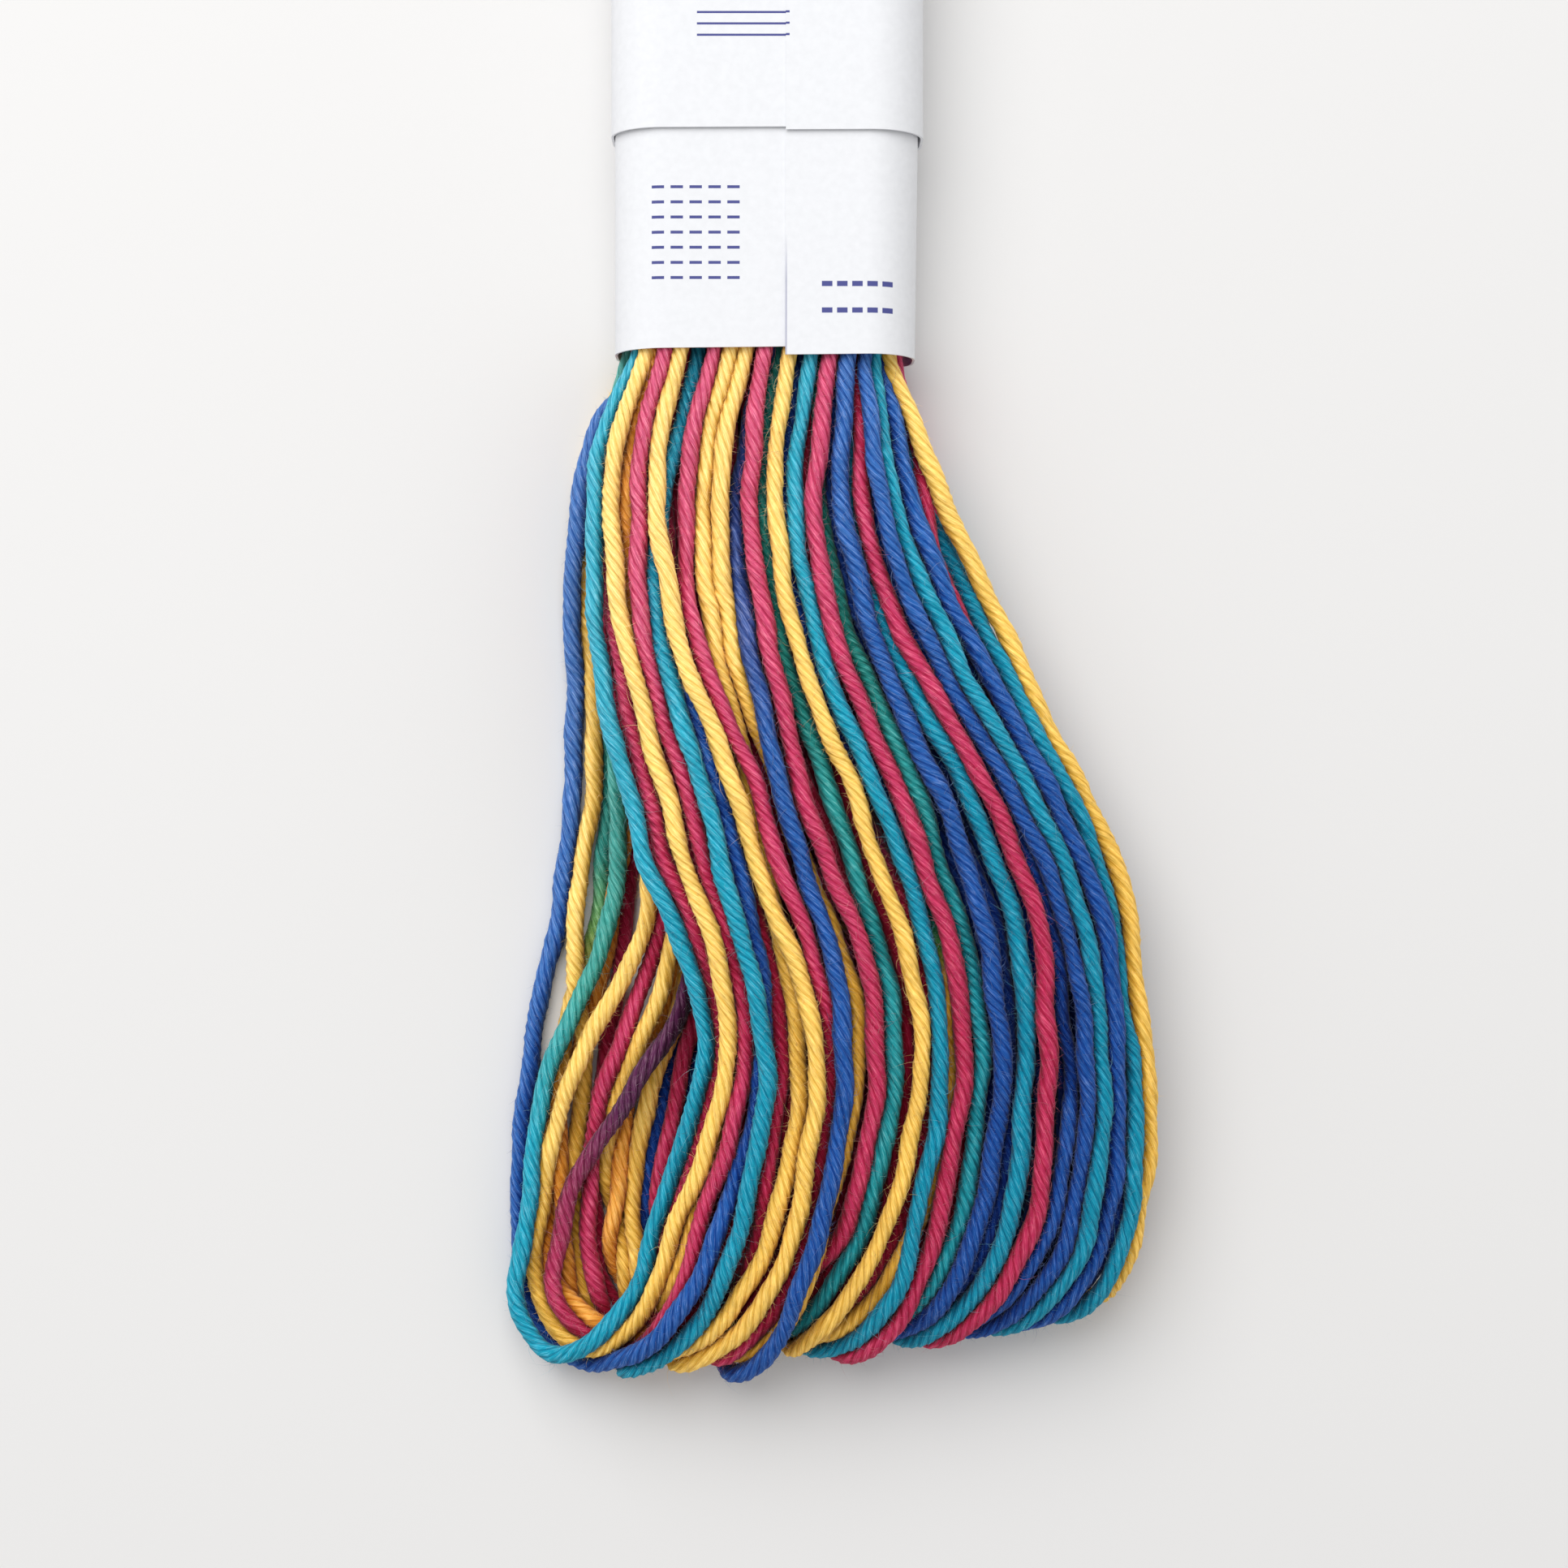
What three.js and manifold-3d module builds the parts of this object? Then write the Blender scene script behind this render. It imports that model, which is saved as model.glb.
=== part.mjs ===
// Skein of sashiko thread: one long cotton thread wound into a flat hank of loops.
// Two papers are wrapped around its waist, one partly over the other.
// Millimetres. +Y runs up the hank from its fanned lower end, +X is to the right seen from above, +Z is up.
// The origin lies on the surface that the skein rests on, in the middle of its box.

import * as THREE from 'three';
import { mergeVertices } from 'three/addons/utils/BufferGeometryUtils.js';
import Module from 'manifold-3d';

// The thread on the hank's face.
const STRANDS_ACROSS = 16;
const RIDGE_HEIGHT = 0.45;
const POINTS_PER_STRAND = 3;

// The papers: each is one sheet wrapped round the waist.
const PAPER_CENTRE_X = -3.5;
const PAPER_WALL = 1.0;
const PAPER_GAP = 0.3;
const BAND = { width: 16.2, height: 7.2, low: -19.8, high: -8.4, edgeSlope: 0.05 };
const SLEEVE = { width: 16.7, height: 7.45, low: -8.1, high: 32, edgeSlope: 0 };
const PAPER_CORNER = 2.8;
const CORNER_STEPS = 7;
const MERGE_WITHIN = 1e-4;

// The hank inside the papers: its two runs, one over the other, and the core where they press together.
const WAIST_LEFT = PAPER_CENTRE_X - BAND.width / 2 + PAPER_WALL + PAPER_GAP;
const WAIST_RIGHT = PAPER_CENTRE_X + BAND.width / 2 - PAPER_WALL - PAPER_GAP;
const WAIST_LOW = PAPER_WALL + PAPER_GAP;
const WAIST_HIGH = BAND.height - PAPER_WALL - PAPER_GAP;
const RUN_GAP = 0.1;
const WAIST_RUN = (WAIST_HIGH - WAIST_LOW - RUN_GAP) / 2;
const FACE_WAIST = WAIST_HIGH - WAIST_RUN / 2;
const BACK_WAIST = WAIST_LOW + WAIST_RUN / 2;
const CORE_INSET = 0.4;
const CORE_CORNER = 1.2;

// The hank is a belt of loops. Each row is a section across one run of it:
// y is its place along the hank, left and right are its edges, mid is the height of its middle,
// thick is its depth, rise is how much further up the hank its right edge lies,
// and steps is how finely it runs on to the next row.
const LOWER_FACE = [
  { y: -8.0, left: WAIST_LEFT, right: WAIST_RIGHT, mid: FACE_WAIST, thick: WAIST_RUN, rise: 0, steps: 1 },
  { y: -20.9, left: WAIST_LEFT, right: WAIST_RIGHT, mid: FACE_WAIST, thick: WAIST_RUN, rise: 0, steps: 2 },
  { y: -22.7, left: -12.5, right: 4.7, mid: 5.35, thick: 2.9, rise: 0, steps: 2 },
  { y: -31.1, left: -13.6, right: 7.6, mid: 5.5, thick: 3.0, rise: 0, steps: 2 },
  { y: -42.4, left: -11.8, right: 13.4, mid: 5.8, thick: 2.9, rise: 0, steps: 2 },
  { y: -51.1, left: -8.8, right: 16.8, mid: 6.1, thick: 2.8, rise: 0, steps: 2 },
  { y: -60.2, left: -7.9, right: 17.6, mid: 6.2, thick: 2.7, rise: 0.3, steps: 2 },
  { y: -67.5, left: -10.0, right: 17.2, mid: 6.0, thick: 2.6, rise: 1.6, steps: 2 },
];
const LOWER_BACK = [
  { y: -67.5, left: -17.6, right: 13.0, mid: 1.3, thick: 2.6, rise: 1.6, steps: 2 },
  { y: -60.2, left: -17.2, right: 14.9, mid: 1.3, thick: 2.6, rise: 0.3, steps: 2 },
  { y: -51.1, left: -15.6, right: 14.5, mid: 1.3, thick: 2.6, rise: 0, steps: 2 },
  { y: -42.4, left: -14.7, right: 11.9, mid: 1.35, thick: 2.7, rise: 0, steps: 2 },
  { y: -31.1, left: -14.5, right: 7.1, mid: 1.4, thick: 2.8, rise: 0, steps: 2 },
  { y: -23.2, left: -12.7, right: 4.6, mid: 1.4, thick: 2.8, rise: 0, steps: 2 },
  { y: -20.9, left: WAIST_LEFT, right: WAIST_RIGHT, mid: BACK_WAIST, thick: WAIST_RUN, rise: 0, steps: 1 },
];
const UPPER_BACK = [
  { y: 32.4, left: WAIST_LEFT, right: WAIST_RIGHT, mid: BACK_WAIST, thick: WAIST_RUN, rise: 0, steps: 2 },
  { y: 34.8, left: -12.1, right: 5.1, mid: 1.4, thick: 2.8, rise: 0, steps: 2 },
  { y: 50.0, left: -13.8, right: 7.9, mid: 1.35, thick: 2.7, rise: 0, steps: 2 },
  { y: 66.0, left: -14.0, right: 9.4, mid: 1.3, thick: 2.6, rise: -0.6, steps: 2 },
];
const UPPER_FACE = [
  { y: 66.0, left: -13.2, right: 10.0, mid: 5.9, thick: 2.6, rise: -0.6, steps: 2 },
  { y: 50.0, left: -13.2, right: 8.3, mid: 5.7, thick: 2.8, rise: 0, steps: 2 },
  { y: 34.4, left: -12.1, right: 5.1, mid: 5.35, thick: 2.9, rise: 0, steps: 2 },
  { y: 32.4, left: WAIST_LEFT, right: WAIST_RIGHT, mid: FACE_WAIST, thick: WAIST_RUN, rise: 0, steps: 1 },
];

// The loop ends: where each roll begins, how far its right edge lies up the hank, and how far it reaches.
const FOOT = { y: -71.3, rise: 2.6, reach: 2.4, thick: 2.6 };
const HEAD = { y: 71.15, rise: -1.2, reach: 2.4, thick: 2.6 };
const ROLL_ROWS = 5;

// The section across a run: crowned and ridged on its outer side, plain inside, with rounded edges.
// The relief dies away where a run is pressed thin in the waist, and where it faces down and lies flat.
const CROWN = 0.55;
const LOOSE_RUN = 2.6;
const FACING_DOWN = -0.98;
const FACING_SIDEWAYS = -0.5;
const INNER_POINTS = 12;
const EDGE_ROUND = 0.35;
const EDGE_HALF = 0.22;

const wasm = await Module();
wasm.setup();

const COTTON = new THREE.MeshStandardMaterial({ color: 0x5f8f9f, roughness: 0.95, metalness: 0 });
const PAPER = new THREE.MeshStandardMaterial({ color: 0xf2f1ee, roughness: 0.8, metalness: 0 });

// The rows of one loop end, from the last row of the run before it to the first row of the run after it.
function rollRows(before, after, end) {
  const outwards = Math.sign(end.y);
  const rows = [];
  for (let i = 0; i < ROLL_ROWS; i += 1) {
    const part = i / (ROLL_ROWS - 1);
    const angle = Math.PI * part;
    const middle = (before.mid + after.mid) / 2;
    const drop = (before.mid - after.mid) / 2;
    const share = (i + 1) / (ROLL_ROWS + 1);
    rows.push({
      y: end.y + outwards * end.reach * Math.sin(angle),
      left: THREE.MathUtils.lerp(before.left, after.left, share),
      right: THREE.MathUtils.lerp(before.right, after.right, share),
      mid: middle + drop * Math.cos(angle),
      thick: end.thick,
      rise: end.rise,
      steps: 2,
    });
  }
  return rows;
}

function closedRail(points) {
  return new THREE.CatmullRomCurve3(points, true, 'centripetal');
}

// One section of the belt as a ring of points: outer side, right edge, inner side, left edge.
function sectionRing(left, right, outward, thick) {
  const across = new THREE.Vector3().subVectors(right, left);
  const width = across.length();
  across.divideScalar(width);
  const half = thick / 2;
  const inset = EDGE_ROUND * thick;
  const loose = THREE.MathUtils.smoothstep(thick, WAIST_RUN, LOOSE_RUN);
  const relief = loose * THREE.MathUtils.smoothstep(outward.z, FACING_DOWN, FACING_SIDEWAYS);
  const ring = [];
  const place = (along, depth) => {
    const point = left.clone().addScaledVector(across, along).addScaledVector(outward, depth);
    point.z = Math.max(point.z, 0);
    ring.push(point);
  };
  const outerPoints = STRANDS_ACROSS * POINTS_PER_STRAND;
  for (let i = 0; i <= outerPoints; i += 1) {
    const share = i / outerPoints;
    const crown = CROWN * (1 - (2 * share - 1) ** 2);
    const valley = 1 - Math.abs(Math.sin(Math.PI * STRANDS_ACROSS * share));
    place(inset + share * (width - 2 * inset), half + relief * (crown - RIDGE_HEIGHT * valley));
  }
  place(width, EDGE_HALF * thick);
  place(width, -EDGE_HALF * thick);
  for (let i = 0; i <= INNER_POINTS; i += 1) {
    const share = 1 - i / INNER_POINTS;
    place(inset + share * (width - 2 * inset), -half);
  }
  place(0, -EDGE_HALF * thick);
  place(0, EDGE_HALF * thick);
  return ring;
}

// Joins a closed row of rings into one skin.
function skinOfRings(rings) {
  const count = rings[0].length;
  const positions = rings.flat().flatMap((point) => point.toArray());
  const index = [];
  for (let i = 0; i < rings.length; i += 1) {
    const next = (i + 1) % rings.length;
    for (let j = 0; j < count; j += 1) {
      const k = (j + 1) % count;
      const a = i * count + j;
      const b = i * count + k;
      const c = next * count + j;
      const d = next * count + k;
      index.push(a, c, b, b, c, d);
    }
  }
  const geometry = new THREE.BufferGeometry();
  geometry.setAttribute('position', new THREE.Float32BufferAttribute(positions, 3));
  geometry.setIndex(index);
  return geometry;
}

function beltGeometry() {
  const rows = [
    ...LOWER_FACE,
    ...rollRows(LOWER_FACE.at(-1), LOWER_BACK[0], FOOT),
    ...LOWER_BACK,
    ...UPPER_BACK,
    ...rollRows(UPPER_BACK.at(-1), UPPER_FACE[0], HEAD),
    ...UPPER_FACE,
  ];
  const leftRail = closedRail(rows.map((row) => new THREE.Vector3(row.left, row.y, row.mid)));
  const rightRail = closedRail(rows.map((row) => new THREE.Vector3(row.right, row.y + row.rise, row.mid)));
  const rings = [];
  rows.forEach((row, i) => {
    const next = rows[(i + 1) % rows.length];
    for (let step = 0; step < row.steps; step += 1) {
      const share = step / row.steps;
      const place = (i + share) / rows.length;
      const along = leftRail.getTangent(place).add(rightRail.getTangent(place));
      const outward = new THREE.Vector3(0, along.z, -along.y).normalize();
      const thick = THREE.MathUtils.lerp(row.thick, next.thick, share);
      rings.push(sectionRing(leftRail.getPoint(place), rightRail.getPoint(place), outward, thick));
    }
  });
  return skinOfRings(rings);
}

// An outline with rounded corners, flat on the height given as its foot.
function roundedOutline(path, centre, width, foot, height, corner) {
  const x0 = centre - width / 2;
  const x1 = centre + width / 2;
  const y1 = foot + height;
  path.moveTo(x0 + corner, foot);
  path.lineTo(x1 - corner, foot);
  path.absarc(x1 - corner, foot + corner, corner, -Math.PI / 2, 0);
  path.absarc(x1 - corner, y1 - corner, corner, 0, Math.PI / 2);
  path.absarc(x0 + corner, y1 - corner, corner, Math.PI / 2, Math.PI);
  path.absarc(x0 + corner, foot + corner, corner, Math.PI, Math.PI * 1.5);
  return path;
}

// Extrudes an outline drawn in X and Z along +Y.
function alongHank(shape, low, high) {
  const options = { depth: high - low, bevelEnabled: false, curveSegments: CORNER_STEPS };
  const geometry = new THREE.ExtrudeGeometry(shape, options);
  geometry.rotateX(Math.PI / 2);
  geometry.translate(0, high, 0);
  return geometry;
}

// One wrapped paper: a sleeve of even wall, its lower edge cut at a slight slope.
function paperGeometry(paper) {
  const outline = roundedOutline(new THREE.Shape(), PAPER_CENTRE_X, paper.width, 0, paper.height, PAPER_CORNER);
  const innerWidth = BAND.width - 2 * PAPER_WALL;
  const innerHeight = BAND.height - 2 * PAPER_WALL;
  const innerCorner = PAPER_CORNER - PAPER_WALL;
  const hollow = new THREE.Path();
  roundedOutline(hollow, PAPER_CENTRE_X, innerWidth, PAPER_WALL, innerHeight, innerCorner);
  outline.holes.push(hollow);
  const geometry = alongHank(outline, paper.low, paper.high);
  const places = geometry.getAttribute('position');
  const middle = (paper.low + paper.high) / 2;
  for (let i = 0; i < places.count; i += 1) {
    if (places.getY(i) < middle) {
      const across = places.getX(i) - PAPER_CENTRE_X + paper.width / 2;
      places.setY(i, places.getY(i) - paper.edgeSlope * across);
    }
  }
  return geometry;
}

// The pressed core that fills the waist between the two runs.
function coreGeometry() {
  const width = WAIST_RIGHT - WAIST_LEFT - 2 * CORE_INSET;
  const height = WAIST_HIGH - WAIST_LOW - 2 * CORE_INSET;
  const outline = new THREE.Shape();
  roundedOutline(outline, PAPER_CENTRE_X, width, WAIST_LOW + CORE_INSET, height, CORE_CORNER);
  return alongHank(outline, BAND.low, SLEEVE.high);
}

function solidOf(geometry) {
  const bare = geometry.clone();
  bare.deleteAttribute('normal');
  bare.deleteAttribute('uv');
  const merged = mergeVertices(bare, MERGE_WITHIN);
  const vertProperties = new Float32Array(merged.getAttribute('position').array);
  const triVerts = new Uint32Array(merged.index.array);
  return new wasm.Manifold(new wasm.Mesh({ numProp: 3, vertProperties, triVerts }));
}

function geometryOf(solid) {
  const mesh = solid.getMesh();
  const geometry = new THREE.BufferGeometry();
  geometry.setAttribute('position', new THREE.BufferAttribute(mesh.vertProperties, 3));
  geometry.setIndex(new THREE.BufferAttribute(mesh.triVerts, 1));
  geometry.computeVertexNormals();
  return geometry;
}

function named(name, geometry, material) {
  const mesh = new THREE.Mesh(geometry, material);
  mesh.name = name;
  return mesh;
}

const hank = geometryOf(solidOf(beltGeometry()).add(solidOf(coreGeometry())));

const skein = new THREE.Group();
skein.add(named('thread_hank', hank, COTTON));
skein.add(named('paper_band', paperGeometry(BAND), PAPER));
skein.add(named('paper_sleeve', paperGeometry(SLEEVE), PAPER));

export default skein;
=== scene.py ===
# %% [markdown]
# # A skein of sashiko thread
# A skein is one long cotton thread wound into a flat hank of loops. Paper round its waist keeps the loops
# together, and below it they fan out into a soft heap. This lesson lays the thread turn by turn, lets the
# turns settle, twists six plies along each with Geometry Nodes, and wraps two thin papers round the waist.

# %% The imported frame
import math

import bpy
import numpy as np
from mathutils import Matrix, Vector
from mathutils.kdtree import KDTree


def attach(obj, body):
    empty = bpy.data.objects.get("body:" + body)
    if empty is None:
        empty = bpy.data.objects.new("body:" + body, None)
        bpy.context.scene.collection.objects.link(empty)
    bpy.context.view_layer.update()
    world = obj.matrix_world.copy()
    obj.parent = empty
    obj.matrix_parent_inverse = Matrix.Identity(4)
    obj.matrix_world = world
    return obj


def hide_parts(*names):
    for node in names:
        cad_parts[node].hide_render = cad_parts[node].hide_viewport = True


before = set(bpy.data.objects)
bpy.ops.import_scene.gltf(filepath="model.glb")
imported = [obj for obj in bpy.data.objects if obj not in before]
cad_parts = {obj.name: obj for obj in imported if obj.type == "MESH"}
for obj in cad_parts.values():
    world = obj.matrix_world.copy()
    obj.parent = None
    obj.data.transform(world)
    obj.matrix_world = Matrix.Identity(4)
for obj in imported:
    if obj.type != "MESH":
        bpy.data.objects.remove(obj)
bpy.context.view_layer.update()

MM = 0.001
rng = np.random.default_rng(7)


def in_mm(rows):
    return [[round(v / MM, 1) for v in row] for row in rows]


# %% [markdown]
# ## Rails
# From above, the hank is a curtain of strands between a left and a right edge. Both edges are drawn as
# rails: a few rows, each with a place along the hank and the edge's place across it, in millimetres. A
# strand is then only a share of the way from one rail to the other. Drawing every strand by hand would work
# too, but the rails keep them moving together, as the loops of a real hank do.

# %% Rails of the two sides
# Each row: y, left edge, right edge. The face is the upper side of the hank, and the back lies on the floor.
FACE_RAILS = np.array([
    (-70.6, -11.2, 15.6), (-66.5, -9.5, 16.5), (-62.5, -8.1, 16.9), (-58.5, -7.1, 16.8), (-54.5, -7.1, 16.4),
    (-50.6, -8.5, 16.1), (-46.7, -10.3, 15.0), (-42.4, -11.2, 12.9), (-36.5, -12.4, 9.6),
    (-31.1, -12.7, 6.75), (-27.5, -12.5, 5.1), (-23.5, -11.9, 4.0), (-20.3, -10.8, 3.2),
])
BACK_RAILS = np.array([
    (-70.6, -12.6, 9.6), (-66, -11.8, 11.6), (-60, -9.6, 12.9), (-53.5, -7.4, 12.7), (-46.6, -6.8, 11.4),
    (-41, -7, 9.6), (-33, -8, 6.6), (-27, -8.9, 4.6), (-20.3, -9.6, 3.2),
])
UPPER_FACE_RAILS = np.array([
    (32.5, -10.6, 3.6), (36, -11.5, 4.6), (43, -12.1, 5.9), (51, -12.6, 7.3), (60, -12.8, 8.8),
    (68, -12.6, 9.6), (72, -12.4, 9.4),
])
UPPER_BACK_RAILS = np.array([
    (32.5, -10.6, 3.6), (36, -11.6, 4.5), (43, -12.6, 5.5), (51, -13.4, 6.9), (60, -13.8, 8.1),
    (68, -13.8, 8.5), (72, -13.6, 8.1),
])
print("the fan is", round(float(np.ptp(FACE_RAILS[:, 1:])), 1), "mm wide at most")

# %% Reading the rails


def smooth_through(knots, values, at):
    """Cubic curve through the values at the knots, read at the places given."""
    slopes = np.gradient(values, knots, axis=0)
    at = np.clip(at, knots[0], knots[-1])
    i = np.clip(np.searchsorted(knots, at) - 1, 0, len(knots) - 2)
    width = knots[i + 1] - knots[i]
    t = (at - knots[i]) / width
    if values.ndim > 1:
        width, t = width[:, None], t[:, None]
    before = values[i] * (1 + 2 * t) * (1 - t) ** 2 + slopes[i] * width * t * (1 - t) ** 2
    after = values[i + 1] * t ** 2 * (3 - 2 * t) - slopes[i + 1] * width * t ** 2 * (1 - t)
    return before + after


def across(rails, y, share):
    """Place of a strand that lies a share of the way from the left rail to the right one."""
    edges = smooth_through(rails[:, 0], rails[:, 1:], y)
    return edges[:, 0] + share * (edges[:, 1] - edges[:, 0])


print("left edge at the neck:", across(FACE_RAILS, FACE_RAILS[9:10, 0], 0)[0], "mm")

# %% [markdown]
# ## Strands of the face
# The thread is dyed in a cycle of yellow, teal, blue and red, so neighbouring turns differ in colour. Each
# row of this table is one strand of the face, from left to right: its depths below the face in thread
# widths, its dyes, its share of the way across at the paper, the neck, the middle, the fan and the foot, and
# the run that it comes back on if it belongs to the open eye at the lower left. Strands change places
# between those five stations, and so the heap looks wound by hand.

# %% Table of the face strands
# Dye numbers run from 0 to 1 through the colours and start again, so a yellow can be 0 or 1.
YELLOW, GREEN, TEAL, BLUE, PURPLE, RED, GOLD = 0.0, 0.17, 0.28, 0.50, 0.63, 0.78, 0.96
NEXT_DYES = {YELLOW: TEAL, TEAL: BLUE, BLUE: RED, RED: 1}
PLACE_STATIONS = np.array([-66.3, -53.3, -45.5, -31.1, -20.3])
FACE_STRANDS = [
    # depths at paper, fan and foot, dyes at paper, foot and return or one dye for paper and foot, shares
    # at the five stations, and the run of the eye if there is one
    ((0, 0, 0), (TEAL, TEAL, GREEN), (0, 0, 0.007, 0, 0.02), "outer"),
    ((1.6, 0.9, 1), (RED, RED, RED), (0.04, 0.07, 0.05, 0.042, 0.045), "red"),
    ((0, 0, 0), (1, 1, 1), (0.05, 0.057, 0.09, 0.083, 0.054), "yellow"),
    ((0.6, 2.4, 1), (GOLD, 1, 1), (0.095, 0.08, 0.06, 0.05, 0.08), "left"),
    ((0.1, 0.3, 0.1), (RED, RED, PURPLE), (0.134, 0.125, 0.135, 0.103, 0.094), "purple"),
    ((1.5, 0.6, 0.6), (BLUE, BLUE, BLUE), (0.16, 0.18, 0.195, 0.155, 0.13), "floor"),
    ((1.15, 0.1, 0.1), TEAL, (0.255, 0.172, 0.18, 0.137, 0.182), "navy"),
    ((1.5, 1.3, 1.3), (RED, RED, RED), (0.21, 0.19, 0.2, 0.175, 0.21), "inner"),
    ((0, 0, 0), YELLOW, (0.19, 0.182, 0.233, 0.246, 0.292)),
    ((0.2, 1, 0.4), YELLOW, (0.378, 0.304, 0.268, 0.213, 0.24)),
    ((0, 0.1, 0.8), RED, (0.318, 0.25, 0.286, 0.279, 0.33)),
    ((1, 0, 0), (0.57, BLUE, RED), (0.525, 0.384, 0.334, 0.315, 0.339)),
    ((0.2, 1, 0.9), YELLOW, (0.44, 0.344, 0.335, 0.348, 0.336)),
    ((0, 0.1, 0.3), RED, (0.51, 0.442, 0.388, 0.395, 0.385)),
    ((1.2, 0.6, 0.6), (GREEN, 0.2, BLUE), (0.56, 0.47, 0.436, 0.437, 0.425)),
    ((0, 0, 0), YELLOW, (0.608, 0.504, 0.498, 0.493, 0.478)),
    ((0.1, 0.1, 0.1), TEAL, (0.688, 0.565, 0.541, 0.538, 0.533)),
    ((1.4, 1.2, 1.2), (BLUE, RED, RED), (0.66, 0.54, 0.515, 0.515, 0.505)),
    ((1.6, 1.5, 0.9), (RED, YELLOW, TEAL), (0.7, 0.585, 0.56, 0.555, 0.524)),
    ((0.1, 0.2, 0.2), RED, (0.763, 0.619, 0.585, 0.586, 0.582)),
    ((1.2, 0.6, 0.6), (GREEN, 0.21, BLUE), (0.73, 0.64, 0.628, 0.623, 0.623)),
    ((0, 0.1, 0.1), BLUE, (0.831, 0.705, 0.677, 0.676, 0.656)),
    ((1.6, 1.4, 0.9), BLUE, (0.8, 0.69, 0.69, 0.7, 0.69)),
    ((1.5, 0.3, 0.2), TEAL, (0.83, 0.735, 0.74, 0.731, 0.722)),
    ((1.2, 0.1, 0.1), RED, (0.865, 0.762, 0.788, 0.778, 0.772)),
    ((1.4, 1, 0.4), BLUE, (0.89, 0.79, 0.812, 0.82, 0.816)),
    ((0, 0.2, 0.2), BLUE, (0.895, 0.815, 0.842, 0.863, 0.853)),
    ((0.2, 0.1, 0.1), TEAL, (0.925, 0.867, 0.876, 0.893, 0.887)),
    ((0.6, 0.3, 0.3), BLUE, (0.962, 0.934, 0.922, 0.928, 0.925)),
    ((1.6, 0.8, 0.5), TEAL, (0.94, 0.945, 0.946, 0.946, 0.96)),
    ((1.2, 1.7, 1.2), (RED, BLUE, RED), (1.01, 0.94, 0.93, 0.935, 0.945)),
    ((0.1, 0.5, 0.8), YELLOW, (0.98, 1, 0.995, 0.992, 0.995)),
]


def full_row(depths, dyes, places, run=None):
    """The row with its run first, and with three dyes."""
    return run, depths, dyes if isinstance(dyes, tuple) else (dyes, dyes, NEXT_DYES[dyes]), places


FACE_STRANDS = [full_row(*row) for row in FACE_STRANDS]
print(len(FACE_STRANDS), "strands show on the face")
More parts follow.
